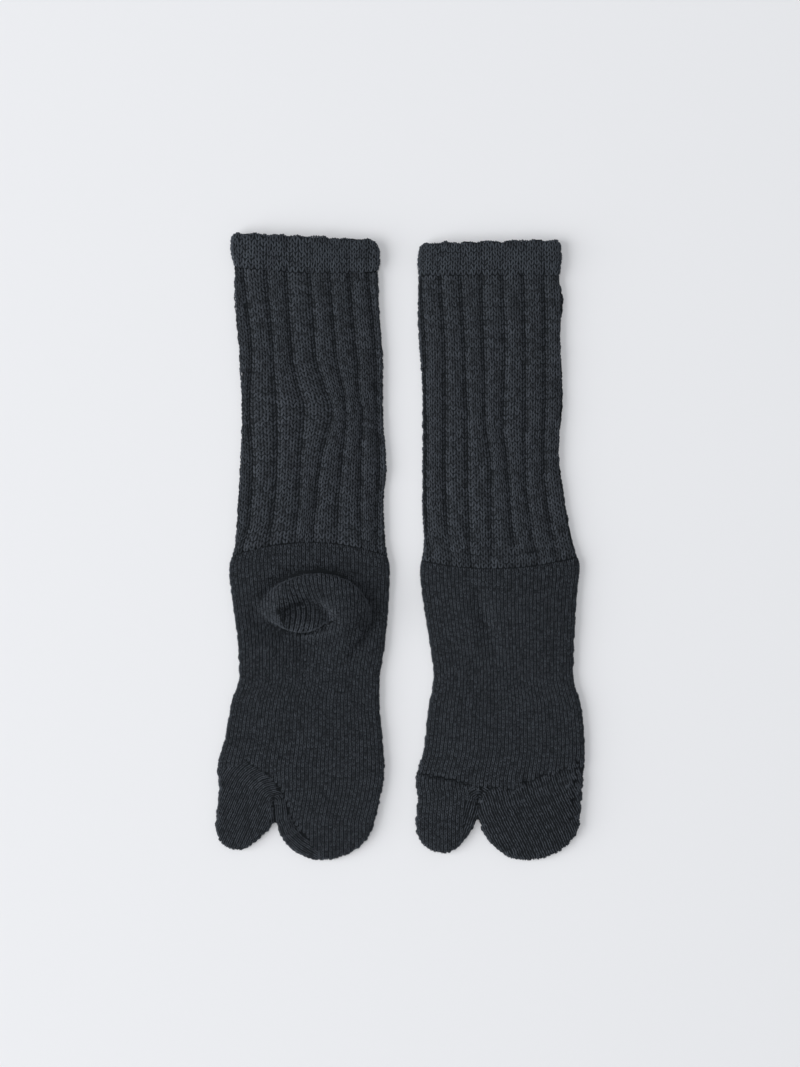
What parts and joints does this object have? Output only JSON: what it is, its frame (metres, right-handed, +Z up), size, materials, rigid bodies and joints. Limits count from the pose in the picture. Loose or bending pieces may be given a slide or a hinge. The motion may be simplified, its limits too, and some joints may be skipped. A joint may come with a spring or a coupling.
{
  "type": "pair of knitted tabi socks laid flat",
  "caption": "Knitted split-toe crew socks laid flat side by side, with turned welts, ribbed legs and cupped heels; one lies sole up and the other instep up.",
  "frame": {"origin": "middle of the pair's footprint, on the surface that both socks lie on", "axes": "+X across the pair from the sole-up sock to the instep-up sock, +Y from the toes towards the open mouths, +Z up from the surface"},
  "size_m": [0.2359, 0.4019, 0.0157],
  "materials": {
    "welt_knit": "matt charcoal cotton knit, doubled",
    "rib_knit": "matt charcoal cotton knit, broad ribs",
    "foot_knit": "matt charcoal cotton knit, fine plain stitch"
  },
  "bodies": {
    "root": {"sole_up_cuff": "welt_knit", "sole_up_leg": "rib_knit", "sole_up_foot": "foot_knit", "instep_up_cuff": "welt_knit", "instep_up_leg": "rib_knit", "instep_up_foot": "foot_knit"}
  },
  "joints": []
}
